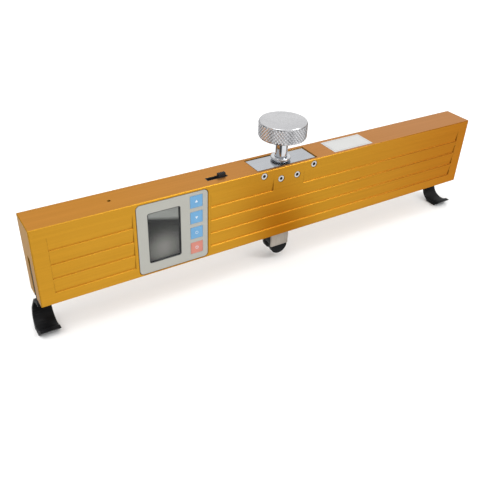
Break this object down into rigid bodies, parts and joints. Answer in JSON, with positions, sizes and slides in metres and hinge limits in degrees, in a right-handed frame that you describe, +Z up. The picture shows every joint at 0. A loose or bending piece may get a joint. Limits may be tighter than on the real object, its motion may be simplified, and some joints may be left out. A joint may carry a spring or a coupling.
{
  "type": "wire rope tension meter",
  "caption": "Long slim gold meter with a swinging hook at each end, a screw press in the middle that bends a wire rope, and a display with keys on its front",
  "frame": {"origin": "middle of the meter between the two hooks' flat feet, on the surface that it stands on", "axes": "+X along the rope to the right as seen from the display side, the display faces -Y, +Z up"},
  "size_m": [0.4086, 0.038, 0.1229],
  "materials": {
    "gold_case": "satin gold anodised",
    "bridge_steel": "fine brushed",
    "chrome_steel": "polished",
    "knob_silver": "satin turned, knurled rim",
    "ground_steel": "ground",
    "bronze": "bearing bronze",
    "bracket_grey": "matt milled",
    "black_steel": "satin black",
    "screw_steel": "bright",
    "dark_screw": "black oxide",
    "panel_grey": "matt film",
    "window_clear": "glossy",
    "lcd_dark": "dark display glass",
    "board_green": "solder mask",
    "standoff_brass": "turned",
    "switch_black": "moulded",
    "key_blue": "satin film",
    "key_red": "satin film",
    "cell_wrap": "shrink sleeve",
    "socket_black": "moulded",
    "port_metal": "plated",
    "label_white": "blank, matt"
  },
  "bodies": {
    "case": {"housing": "gold_case", "rear_cover": "gold_case", "cover_screws": "screw_steel", "bridge_block": "bridge_steel", "bridge_screws": "screw_steel", "threaded_bush": "chrome_steel", "guide_posts": "ground_steel", "display_panel": "panel_grey", "display_window": "window_clear", "lcd_module": "lcd_dark", "main_board": "board_green", "board_standoffs": "standoff_brass", "board_screws": "screw_steel", "key_switches": "switch_black", "power_switch": "switch_black", "buzzer": "switch_black", "battery_tray": "switch_black", "battery_cells": "cell_wrap", "charge_socket": "socket_black", "socket_nut": "screw_steel", "data_port": "port_metal", "hook_anchors": "ground_steel", "anchor_screws": "screw_steel", "hook_pins": "ground_steel", "blank_label": "label_white"},
    "press": {"crosshead": "ground_steel", "guide_bushes": "bronze", "thrust_washer": "bronze", "load_cell": "ground_steel", "press_bracket": "bracket_grey", "cell_bolt": "dark_screw", "press_shoe": "black_steel", "shoe_pin": "ground_steel"},
    "hand_wheel": {"spindle": "chrome_steel", "retaining_ring": "dark_screw", "stop_collar": "chrome_steel", "hand_knob": "knob_silver", "knob_grub": "dark_screw"},
    "hook_left": {"hook_left": "black_steel"},
    "hook_right": {"hook_right": "black_steel"},
    "key_1": {"key_1": "key_blue"},
    "key_2": {"key_2": "key_blue"},
    "key_3": {"key_3": "key_blue"},
    "key_4": {"key_4": "key_red"},
    "power_slider": {"power_slider": "switch_black"}
  },
  "joints": [
    {"name": "press_slide", "type": "slide", "parent": "case", "child": "press", "axis": [0, 0, 1], "range_m": [0, 0.014]},
    {"name": "knob_turn", "type": "hinge", "parent": "press", "child": "hand_wheel", "pos_m": [0, 0, 0.1163], "axis": [0, 0, 1], "range_deg": [0, 2520]},
    {"name": "hook_left_swing", "type": "hinge", "parent": "case", "child": "hook_left", "pos_m": [-0.1927, 0, 0.0549], "axis": [0, 1, 0], "range_deg": [0, 90]},
    {"name": "hook_right_swing", "type": "hinge", "parent": "case", "child": "hook_right", "pos_m": [0.1927, 0, 0.0549], "axis": [0, -1, 0], "range_deg": [0, 90]},
    {"name": "key_1_press", "type": "slide", "parent": "case", "child": "key_1", "axis": [0, 1, 0], "range_m": [0, 0.0005], "stiffness_N_per_m": 400, "springref_m": -0.001},
    {"name": "key_2_press", "type": "slide", "parent": "case", "child": "key_2", "axis": [0, 1, 0], "range_m": [0, 0.0005], "stiffness_N_per_m": 400, "springref_m": -0.001},
    {"name": "key_3_press", "type": "slide", "parent": "case", "child": "key_3", "axis": [0, 1, 0], "range_m": [0, 0.0005], "stiffness_N_per_m": 400, "springref_m": -0.001},
    {"name": "key_4_press", "type": "slide", "parent": "case", "child": "key_4", "axis": [0, 1, 0], "range_m": [0, 0.0005], "stiffness_N_per_m": 400, "springref_m": -0.001},
    {"name": "power_slide", "type": "slide", "parent": "case", "child": "power_slider", "axis": [-1, 0, 0], "range_m": [0, 0.008]}
  ],
  "couplings": [
    {"joint": "knob_turn", "follows": "press_slide", "rad_per_m": 3141.6}
  ]
}
